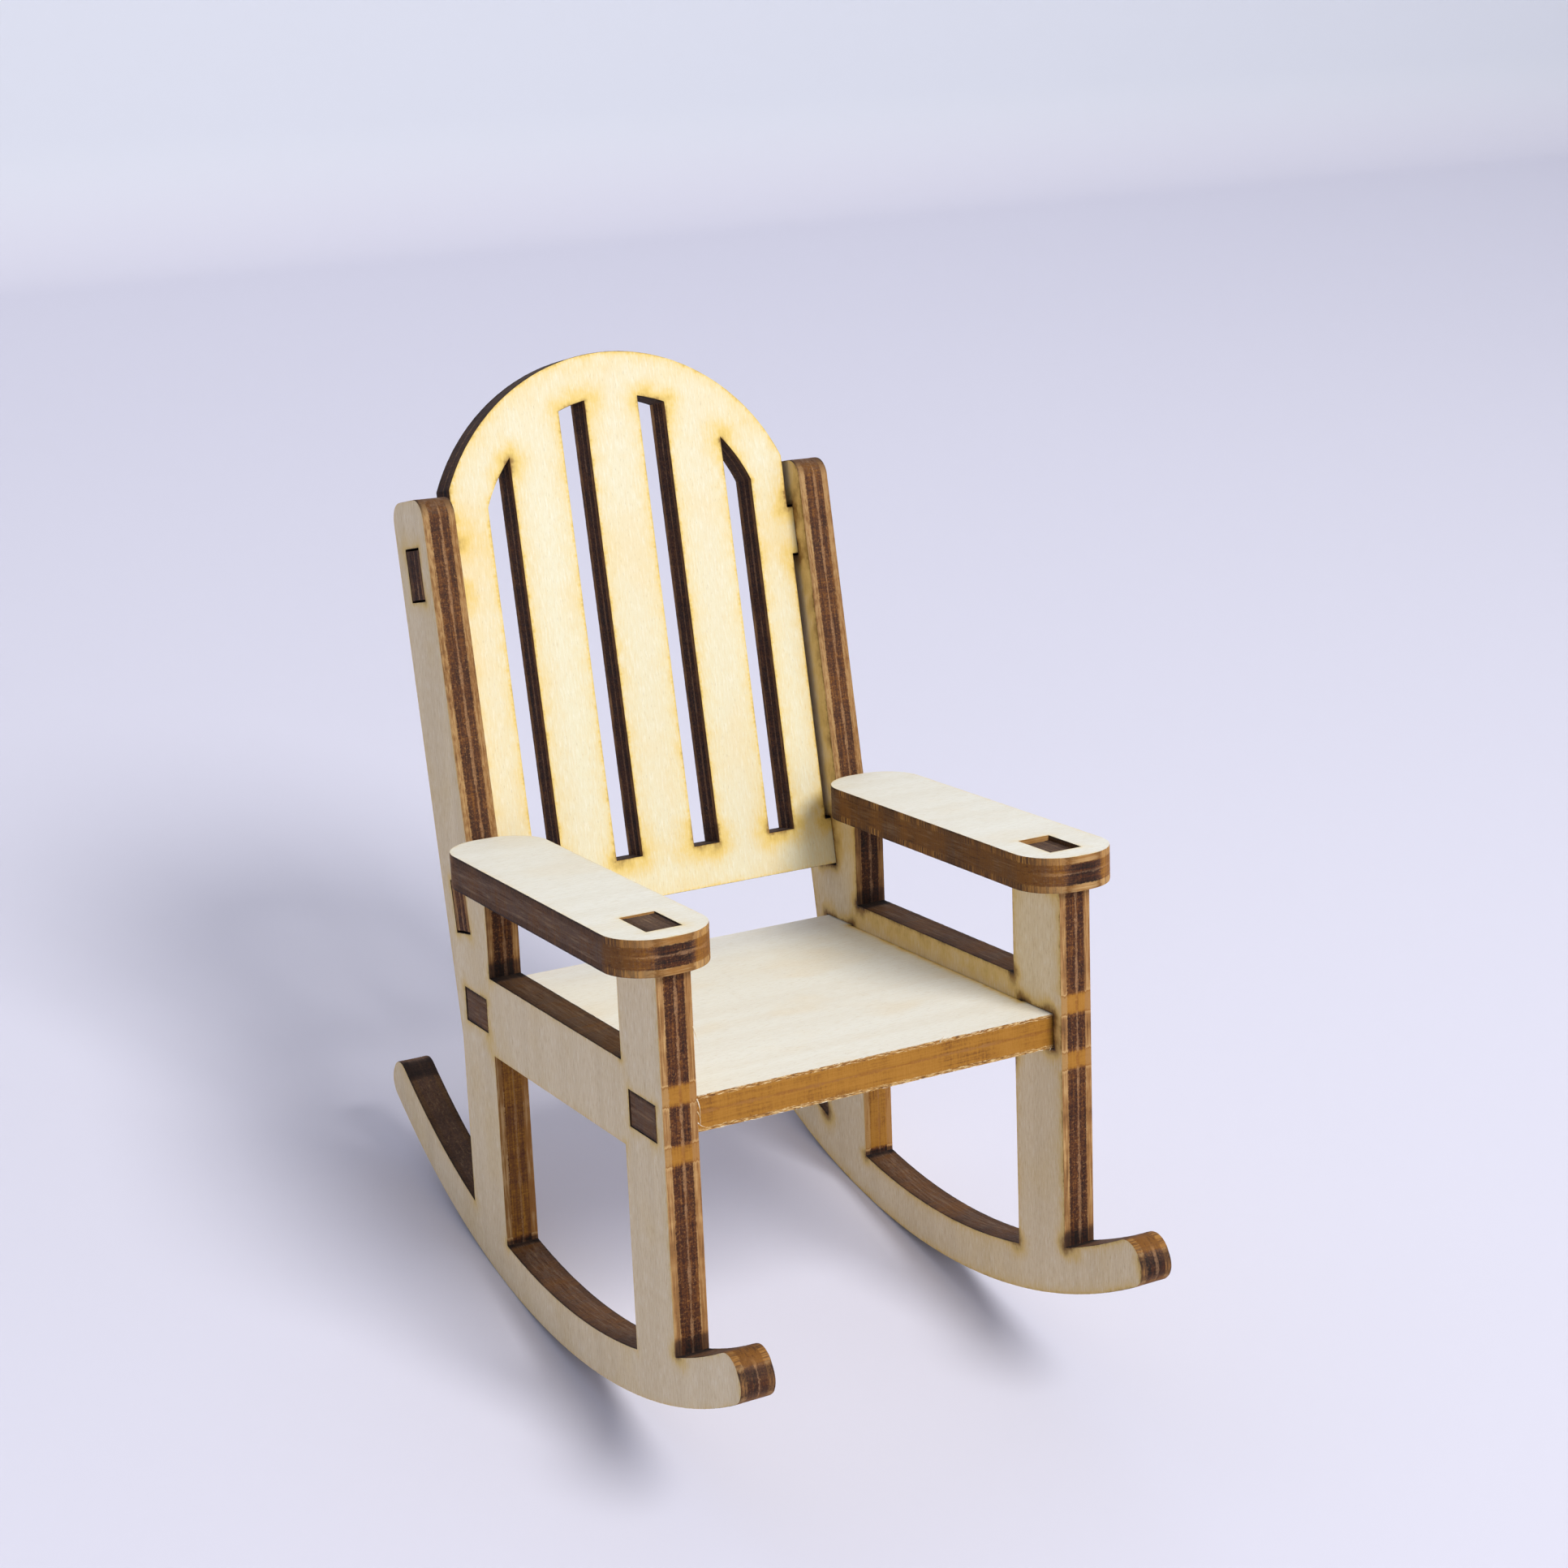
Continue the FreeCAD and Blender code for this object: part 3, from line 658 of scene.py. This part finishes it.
def side_frame_cuts(window_back_burn_and_shade, tenon_drop):
    """All the cuts of a side frame, seen from the right with its front to the left."""
    toe_low = corner_swing(low_corner, toe_angle)
    tail_low = corner_swing(low_corner, tail_angle)
    toe_high = corner_swing(high_corner, toe_angle)
    post_back_top, post_front_top = on_post(post_length, 0), on_post(post_length, leg_width)
    tenon_top = arm_top - tenon_drop

    outline = Cut(on_rocker(rocker_radius, toe_low, -1))
    outline.round(rocker_middle, on_rocker(rocker_radius, tail_low, 1), brown)
    rounded_tip(outline, tail_angle, 1, brown, outwards=True)
    outline.round(rocker_middle, (rear_leg_back, rocker_top_at(rear_leg_back)), umber)
    outline.straight((rear_leg_back, 0), brown)
    outline.rounded(post_back_top, post_front_top, post_corner, brown, tan + 0.1)
    outline.rounded(post_front_top, on_post(0, leg_width), post_corner, tan + 0.08, brown)
    outline.straight((post_at_arm, arm_underside), brown + 0.12)
    outline.straight((rear_leg_front, arm_underside), umber)
    outline.straight((rear_leg_front, rail_top), umber + 0.06)
    outline.straight((leg_width, rail_top), brown)
    outline.straight((leg_width, arm_underside), brown)
    outline.straight((leg_width - tenon_front, arm_underside), brown)
    outline.straight((leg_width - tenon_front, tenon_top), umber)
    outline.straight((tenon_front, tenon_top), umber)
    outline.straight((tenon_front, arm_underside), umber)
    outline.straight((0, arm_underside), brown)
    outline.straight((0, rocker_top_at(0)), umber)
    outline.round(rocker_middle, on_rocker(rocker_inner, toe_high, -1), brown)
    rounded_tip(outline, toe_angle, -1, tan, outwards=False)

    window = Cut((leg_width, rocker_top_at(leg_width)), hole=True)
    window.straight((leg_width, 0), tan)
    window.straight((rear_leg_front, 0), brown)
    # The window's back edge takes its own burn; on the left frame part of its darkness is painted shade.
    window.straight((rear_leg_front, rocker_top_at(rear_leg_front)), window_back_burn_and_shade)
    window.round(rocker_middle, (leg_width, rocker_top_at(leg_width)), brown)

    cuts = [outline, window]
    for front in (seat_inset, rear_leg_back - seat_inset - tab_width):
        low = (front - clearance, seat_underside)
        cuts.append(box_hole(low, (front + tab_width + clearance, seat_underside + ply), soot))
    for bottom in (back_bottom, upper_tab_bottom):
        low, high = bottom - clearance, bottom + tab_width + clearance
        near, far = back_recess + ply, back_recess
        mortise = Cut(on_post(low, near), hole=True)
        mortise.straight(on_post(high, near), soot)
        mortise.straight(on_post(high, far), soot)
        mortise.straight(on_post(low, far), soot)
        mortise.straight(on_post(low, near), soot)
        cuts.append(mortise)
    return cuts


# The beam skipped above and below the front mortise, and dwelt in the inner corners.
leg_marks = [
    ((0, seat_underside - 0.9), 0.85, honey - 0.06),
    ((0, seat_underside + ply + 1.0), 0.9, honey - 0.06),
    ((0, rocker_top_at(0)), 1.4, soot),
    ((rear_leg_front, rail_top), 1.3, soot),
    ((leg_width, rail_top), 0.7, soot),
    ((rear_leg_front, rocker_top_at(rear_leg_front)), 0.5, soot),
    (on_rocker(rocker_radius - 1.1, toe_angle, -1), 1.3, umber + 0.16),
    (on_rocker(rocker_inner, tail_angle - 2, 1), 1.2, soot),
]
# Smoky tints crept over the inside faces beside the seat, and out of the toe's inner corner.  The band
# down the inside of each post, beside the back, is partly a smoky tint and partly painted shade.
rail_smoke_at = 6.1
rail_smoke = (
    Vector((leg_width + 1, rail_smoke_at)), Vector((rear_leg_front - 1, rail_smoke_at)), 1.5, 0.24
)
toe_smoke = (Vector((-1.4, rocker_top_at(0))), Vector((0.3, rocker_top_at(0) + 0.3)), 0.9, 0.2)
# Painted shade and smoky tint: a band down the post's inside face, in front of the back, where the two meet.
post_shade_foot = 12
post_smoke_and_shade = (
    on_post(post_shade_foot, leg_width - 1), on_post(post_length - 2, leg_width - 1), 1.6, 0.26
)
edge_finish = burnt_edge("scorched_plywood_edge", veneer_burn=0.94)
side_face = birch_face(
    "birch_side_face", paint(228, 209, 174), paint(199, 174, 131), paint(221, 196, 145),
    singed=paint(219, 186, 112),
)
upright = (0, 1)
# The left window's back edge is burnt darker than the right's, and part of that darkness is painted shade.
for name, x, window_back_burn_and_shade, tenon_drop, halo, inner_face, seed in (
    ("left", left_x, honey + 0.2, 0.06, (0.9, 1.6), 1, 11),
    ("right", half_inside, gold + 0.16, 0.34, (2.2, 1.4), 0, 23),
):
    across_y_z = Matrix(((0, 0, 1, x), (1, 0, 0, 0), (0, 1, 0, 0), (0, 0, 0, 1)))
    board(
        f"{name}_side_plywood", f"{name}_side_frame", across_y_z, side_frame_cuts(window_back_burn_and_shade, tenon_drop),
        upright, (side_face, edge_finish), seed, marks=leg_marks, halo=halo,
        smoke_and_shade=[rail_smoke + (inner_face,), post_smoke_and_shade + (inner_face,), toe_smoke + (0,)],
    )


# --- Seat -------------------------------------------------------------------------------------
# The seat is a flat board with the grain from side to side.  Its four tabs go through the side
# frames, flush with their outsides, and their burnt ends show there as dark squares.

seat_front = seat_inset
seat_back = rear_leg_back - seat_inset


def seat_cut():
    """The seat's outline, seen from above, with its tabs level with its front and back edges."""
    tip = half_inside + ply
    cut = Cut((-tip, seat_front))
    cut.straight((tip, seat_front), honey)
    cut.straight((tip, seat_front + tab_width), brown)
    cut.straight((half_inside, seat_front + tab_width), umber)
    cut.straight((half_inside, seat_back - tab_width), brown)
    cut.straight((tip, seat_back - tab_width), umber)
    cut.straight((tip, seat_back), brown)
    cut.straight((-tip, seat_back), tan)
    cut.straight((-tip, seat_back - tab_width), brown)
    cut.straight((-half_inside, seat_back - tab_width), umber)
    cut.straight((-half_inside, seat_front + tab_width), brown)
    cut.straight((-tip, seat_front + tab_width), umber)
    cut.straight((-tip, seat_front), brown)
    return cut


seat_edge = burnt_edge("honey_plywood_edge", veneer_gold=paint(176, 130, 66), veneer_depth=0.1, flecks=0.85)
seat_face = birch_face(
    "birch_seat_face", paint(239, 237, 226), paint(226, 217, 197), paint(236, 225, 201), 0.6
)
board(
    "seat_plywood", "seat_panel", Matrix.Translation((0, 0, seat_underside)), [seat_cut()],
    (1, 0), (seat_face, seat_edge), 37, halo=(0.6, 0.5),
    smoke_and_shade=[
        (Vector((end, seat_front + tab_width)), Vector((end, seat_back - tab_width)), 0.55, 0.3, 1)
        for end in (-half_inside, half_inside)
    ],
)


# --- Back panel -------------------------------------------------------------------------------
# The back is an arched board with four slots, held between the posts by four tabs.  It was cut
# slowly, so its slots are lined with soot and its pale face has a honey tint beside every cut.

back_side_gap = 0.5
back_edge = half_inside - back_side_gap
arch_spring = 48.2
arch_rise = 10.85
arch_radius = (back_edge ** 2 + arch_rise ** 2) / (2 * arch_rise)
arch_middle = Vector((0, arch_spring + arch_rise - arch_radius))
slot_width = 2.55
slot_burn = 0.75
frame_width = 4.0
frame_side = 3.525
side_slot_drop = 1.93
slot_bottom = back_bottom + frame_width
slots_edge = back_edge - frame_side
slots_top = arch_spring + arch_rise - frame_width
slot_side_top = arch_spring - side_slot_drop
slot_rise = slots_top - slot_side_top
slot_radius = (slots_edge ** 2 + slot_rise ** 2) / (2 * slot_rise)
slot_middle = Vector((0, slots_top - slot_radius))
slot_count = 4
slot_pitch = (2 * slots_edge - slot_width) / (slot_count - 1)


def slot_top_at(x):
    """The height of the slots' tops, which follow an arc of their own."""
    return slot_middle.y + math.sqrt(slot_radius ** 2 - x ** 2)


def back_cuts():
    """The back's outline and its slots, seen from the front, with heights measured along the posts."""
    tip = half_inside + ply
    low_tab, high_tab = back_bottom + tab_width, upper_tab_bottom + tab_width
    outline = Cut((-tip, back_bottom))
    outline.straight((tip, back_bottom), brown)
    outline.straight((tip, low_tab), umber)
    outline.straight((back_edge, low_tab), umber)
    outline.straight((back_edge, upper_tab_bottom), umber)
    outline.straight((tip, upper_tab_bottom), umber)
    outline.straight((tip, high_tab), soot - 0.1)
    outline.straight((back_edge, high_tab), umber)
    outline.straight((back_edge, arch_spring), soot)
    outline.round(arch_middle, (-back_edge, arch_spring), soot - 0.1)
    outline.straight((-back_edge, high_tab), soot)
    outline.straight((-tip, high_tab), umber)
    outline.straight((-tip, upper_tab_bottom), soot - 0.1)
    outline.straight((-back_edge, upper_tab_bottom), umber)
    outline.straight((-back_edge, low_tab), umber)
    outline.straight((-tip, low_tab), umber)
    outline.straight((-tip, back_bottom), umber)
    cuts = [outline]
    for number in range(slot_count):
        left = slot_pitch * number - slots_edge
        right = left + slot_width
        slot = Cut((left, slot_bottom), hole=True)
        slot.straight((left, slot_top_at(left)), slot_burn)
        slot.round(slot_middle, (right, slot_top_at(right)), slot_burn)
        slot.straight((right, slot_bottom), slot_burn)
        slot.straight((left, slot_bottom), slot_burn)
        cuts.append(slot)
    return cuts


foot = on_post(0, back_recess)
lean_back = Matrix.Translation((0, foot.x, foot.y)) @ Matrix.Rotation(-lean, 4, "X")
facing_forward = Matrix(((1, 0, 0, 0), (0, 0, -1, 0), (0, 1, 0, 0), (0, 0, 0, 1)))
back_finish = burnt_edge("sooty_plywood_edge")
back_face = birch_face(
    "birch_back_face", paint(230, 223, 194), paint(227, 212, 176), paint(231, 213, 170), 0.6
)
board(
    "back_plywood", "back_panel", lean_back @ facing_forward, back_cuts(),
    (0, 1), (back_face, back_finish), 53, halo=(1.0, 1.25), warm_reach=1.7,
)


# --- Armrests ---------------------------------------------------------------------------------
# Each arm is a round-ended board that lies on its front leg, whose tenon comes up through it,
# and on a ledge of its post.  Its face grain runs across, so its long sides show end grain.

arm_width = 8.9
arm_outside = 3.2
arm_front = -1.2
arm_gap = 0.2
arm_rear = post_at_arm - arm_gap
arm_end_flat = 1.1
arm_corner = (arm_width - arm_end_flat) / 2
burnt_end = 1.75


def arm_cuts(left, side_burn):
    """An arm's outline and its mortise, seen from above, from its left side at left."""
    right = left + arm_width
    outline = Cut((left + arm_corner, arm_front))
    outline.rounded((right, arm_front), (right, arm_rear), arm_corner, brown, honey + 0.06)
    outline.rounded((right, arm_rear), (left, arm_rear), arm_corner, brown + 0.04, brown)
    outline.rounded((left, arm_rear), (left, arm_front), arm_corner, brown, brown)
    outline.rounded((left, arm_front), (right, arm_front), arm_corner, side_burn, tan + 0.06)
    mortise = box_hole((0, tenon_front - clearance), (ply, leg_width - tenon_front + clearance), brown)
    return [outline, mortise]


arm_edge = burnt_edge("combed_plywood_edge", veneer_gold=paint(190, 150, 96), comb=0.17, veneer_burn=0.45)
arm_face = birch_face("birch_arm_face", paint(236, 234, 222), paint(222, 215, 195), paint(232, 222, 198), 0.4)
for name, x, left, side_burn, seed in (
    ("left", left_x, -arm_outside, brown + 0.02, 71),
    ("right", half_inside, ply + arm_outside - arm_width, tan + 0.08, 89),
):
    board(
        f"{name}_arm_plywood", f"{name}_armrest", Matrix.Translation((x, 0, arm_underside)),
        arm_cuts(left, side_burn), (1, 0), (arm_face, arm_edge), seed, halo=(0.6, 0.5),
        marks=[((left + arm_width / 2, arm_front), burnt_end, soot - 0.1)],
    )


# --- Splinters --------------------------------------------------------------------------------
# Where the beam left the veneer, fine pale fibres stand up: a few long ones beside the joints,
# and a fringe of short ones along the front arris of the seat.

fibre_sides = 5
fibre_rings = 7


def splinter(start, direction, length, thickness, curl):
    """One tapered fibre, bending towards curl: its points and faces."""
    start, direction, curl = Vector(start), Vector(direction).normalized(), Vector(curl)
    points, faces = [], []
    for ring in range(fibre_rings):
        share = ring / (fibre_rings - 1)
        middle = start + direction * length * share + curl * length * share ** 2
        along = (direction + 2 * curl * share).normalized()
        across = along.orthogonal().normalized()
        radius = thickness / 2 * (1 - 0.85 * share)
        for side in range(fibre_sides):
            turn = Matrix.Rotation(2 * math.pi * side / fibre_sides, 3, along)
            points.append(middle + turn @ across * radius)
    for ring in range(fibre_rings - 1):
        for side in range(fibre_sides):
            low, high = ring * fibre_sides, (ring + 1) * fibre_sides
            following = (side + 1) % fibre_sides
            faces.append((low + side, low + following, high + following, high + side))
    faces.append(tuple(reversed(range(fibre_sides))))
    faces.append(tuple(range((fibre_rings - 1) * fibre_sides, fibre_rings * fibre_sides)))
    return points, faces


def splinters(name, fibres, material):
    """Make one piece of many loose fibres, given in mm on the level chair."""
    points, faces = [], []
    for fibre in fibres:
        first = len(points)
        more_points, more_faces = splinter(*fibre)
        points += [tuple(at_rest @ point) for point in more_points]
        faces += [tuple(n + first for n in face) for face in more_faces]
    mesh = bpy.data.meshes.new(name)
    mesh.from_pydata(points, [], faces)
    mesh.materials.append(material)
    mesh.polygons.foreach_set("use_smooth", [True] * len(faces))
    piece = bpy.data.objects.new(name, mesh)
    bpy.context.collection.objects.link(piece)
    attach(piece, "root")


fluff = Finish("pale_fibre", Roughness=0.7, Specular_IOR_Level=0.3)
strand = fluff.grainy(fluff.add("TexCoord", out="Object"), (900.0, 900.0, 900.0))
fluff.links.new(
    fluff.mix(fluff.step(strand, 0.35, 0.65), paint(244, 236, 216), paint(214, 184, 138)),
    fluff.shader.inputs["Base Color"],
)
seat_top = seat_underside + ply
long_fibres = [
    ((-half_inside - 0.03, 0.04, seat_top + 0.35), (0.4, -0.2, -1.0), 1.5, 0.13, (-0.3, 0, -0.15)),
    ((-half_inside - 0.03, 0.05, seat_top - 0.7), (0.55, -0.3, -0.9), 1.1, 0.12, (-0.45, 0, -0.1)),
    ((-half_inside - 0.03, 0.04, seat_top - 1.6), (0.5, -0.2, -0.8), 0.8, 0.1, (0.2, 0, 0.3)),
    ((-half_inside - 0.03, 0.04, 11.2), (0.16, -0.1, -1.0), 1.4, 0.1, (0.1, 0, 0)),
    ((6.0, seat_front - 0.02, seat_top - 0.15), (0.35, -0.4, 1.0), 0.55, 0.12, (0.2, 0, 0)),
    ((-15.6, 9.6, arm_underside + 0.05), (0.2, 0.1, -1.0), 0.8, 0.06, (0.5, 0, 0.1)),
    ((half_inside - 0.1, seat_front, seat_underside + 0.2), (-0.5, -0.3, -0.5), 0.6, 0.07, (0, 0, 0.2)),
]
splinters("long_splinters", long_fibres, fluff.material)
chance = random.Random(5)
fringe_count = 120
fringe = []
for _ in range(fringe_count):
    x = chance.uniform(-half_inside + 0.3, half_inside - 0.3)
    z = seat_top - 0.02 if chance.random() < 0.6 else seat_underside + 0.03
    lie = (chance.choice((-1, 1)), chance.uniform(-0.25, -0.05), chance.uniform(-0.12, 0.12))
    length = chance.uniform(0.15, 0.65)
    fringe.append(((x, seat_front + 0.03, z), lie, length, chance.uniform(0.03, 0.07), (0, -0.05, 0.1)))
splinters("seat_fringe", fringe, fluff.material)


# --- Table, light and camera ------------------------------------------------------------------
# The chair stands on a pale lavender sheet in front of a paler wall, under one large soft lamp
# that hangs in front of it, with light from the room all round.

lookat = Vector((1.7, 0, 47.9)) * mm
azimuth, elevation, roll = math.radians(-31.38), math.radians(24.53), math.radians(4.45)
distance = 227.7 * mm
camera_data = bpy.data.cameras.new("camera")
camera_data.lens = 61.9
camera_data.sensor_width = 36
camera_data.clip_start = 0.005
camera_data.clip_end = 20
camera = bpy.data.objects.new("camera", camera_data)
bpy.context.collection.objects.link(camera)
away = Vector((
    math.sin(azimuth) * math.cos(elevation), -math.cos(azimuth) * math.cos(elevation), math.sin(elevation)
))
facing = (-away).to_track_quat("-Z", "Y").to_matrix().to_4x4()
camera.matrix_world = Matrix.Translation(lookat + away * distance) @ facing @ Matrix.Rotation(roll, 4, "Z")
bpy.context.scene.camera = camera

floor_back = 0.362
cove = 0.024
room_size = 3.0
wall_top = 1.4
cove_steps = 12

# The sheet runs back over the table, and turns up in a small cove into the wall.
line = [(-room_size, 0)]
for step in range(cove_steps + 1):
    angle = math.pi / 2 * step / cove_steps
    line.append((floor_back - cove + cove * math.sin(angle), cove - cove * math.cos(angle)))
line.append((floor_back, wall_top))
sheet_mesh = bpy.data.meshes.new("backdrop")
sheet_points = [(x, y, z) for y, z in line for x in (-room_size, room_size)]
sheet_faces = [(2 * n, 2 * n + 1, 2 * n + 3, 2 * n + 2) for n in range(len(line) - 1)]
sheet_mesh.from_pydata(sheet_points, [], sheet_faces)
sheet_mesh.polygons.foreach_set("use_smooth", [True] * len(sheet_faces))
card = Finish("lavender_card", Specular_IOR_Level=0.2, Roughness=0.8)
place = card.add("TexCoord", out=3)
height = card.add("SeparateXYZ", (0, place), out=2)
cloud = card.grainy(place, (3.0, 3.0, 3.0), detail=1.0)
card_colour = card.mix(card.step(cloud, 0.3, 0.7, 0, 0.3), paint(221, 220, 234), paint(218, 217, 232))
card_colour = card.mix(card.step(height, 0.0, cove), card_colour, paint(226, 229, 238))
card.links.new(card_colour, card.shader.inputs["Base Color"])
sheet_mesh.materials.append(card.material)
sheet = bpy.data.objects.new("backdrop", sheet_mesh)
sheet.matrix_world = Matrix.Rotation(math.radians(5.3), 4, "Z")
bpy.context.collection.objects.link(sheet)

lamp_direction = Vector((0.17, -0.62, 0.75)).normalized()
lamp_distance = 0.9
lamp_aim = Vector((0, 0, 0.03))
lamp_data = bpy.data.lights.new("soft_lamp", "AREA")
lamp_data.shape = "DISK"
lamp_data.size = 0.36
lamp_data.energy = 6.2
lamp_data.color = (1.0, 0.985, 0.955)
lamp = bpy.data.objects.new("soft_lamp", lamp_data)
bpy.context.collection.objects.link(lamp)
lamp.matrix_world = (
    Matrix.Translation(lamp_aim + lamp_direction * lamp_distance)
    @ lamp_direction.to_track_quat("Z", "Y").to_matrix().to_4x4()
)

# The room is brighter in front and to the right, where its windows are, than behind.  Straight
# to the camera it shows a pale backdrop, with painted shade near the horizon, as grey as the far floor.
windows = Vector((0.62, -0.6, 0.4)).normalized()
window_light = 0.67
room = bpy.data.worlds.new("room")
room.use_nodes = True
room_nodes, room_links = room.node_tree.nodes, room.node_tree.links
room_light = room_nodes["Background"]
room_light.inputs["Color"].default_value = (0.93, 0.945, 1.0, 1)
looking = room_nodes.new("ShaderNodeTexCoord")
to_windows = room_nodes.new("ShaderNodeVectorMath")
to_windows.operation = "DOT_PRODUCT"
to_windows.inputs[1].default_value = windows
brightness = room_nodes.new("ShaderNodeMapRange")
brightness.inputs["From Min"].default_value = -1
brightness.inputs["To Min"].default_value = 0.0
brightness.inputs["To Max"].default_value = window_light
room_links.new(looking.outputs["Generated"], to_windows.inputs[0])
room_links.new(to_windows.outputs["Value"], brightness.inputs["Value"])
room_links.new(brightness.outputs["Result"], room_light.inputs["Strength"])
pale_wall = room_nodes.new("ShaderNodeBackground")
# Painted shade: the camera's backdrop is grey-lavender at the horizon, like the far floor where the lamp's
# light fades, and pale higher up.
haze_with_horizon_shade = room_nodes.new("ShaderNodeValToRGB")
haze_with_horizon_shade.color_ramp.elements[0].color = paint(180, 182, 198)
haze_with_horizon_shade.color_ramp.elements[1].color = paint(218, 219, 230)
haze_with_horizon_shade.color_ramp.elements[1].position = 0.3
looking_up = room_nodes.new("ShaderNodeSeparateXYZ")
room_links.new(looking.outputs["Generated"], looking_up.inputs[0])
room_links.new(looking_up.outputs["Z"], haze_with_horizon_shade.inputs[0])
room_links.new(haze_with_horizon_shade.outputs["Color"], pale_wall.inputs["Color"])
seen = room_nodes.new("ShaderNodeLightPath")
either = room_nodes.new("ShaderNodeMixShader")
room_links.new(seen.outputs["Is Camera Ray"], either.inputs[0])
room_links.new(room_light.outputs[0], either.inputs[1])
room_links.new(pale_wall.outputs[0], either.inputs[2])
room_links.new(either.outputs[0], room_nodes["World Output"].inputs["Surface"])
bpy.context.scene.world = room
bpy.context.scene.view_settings.view_transform = "Standard"
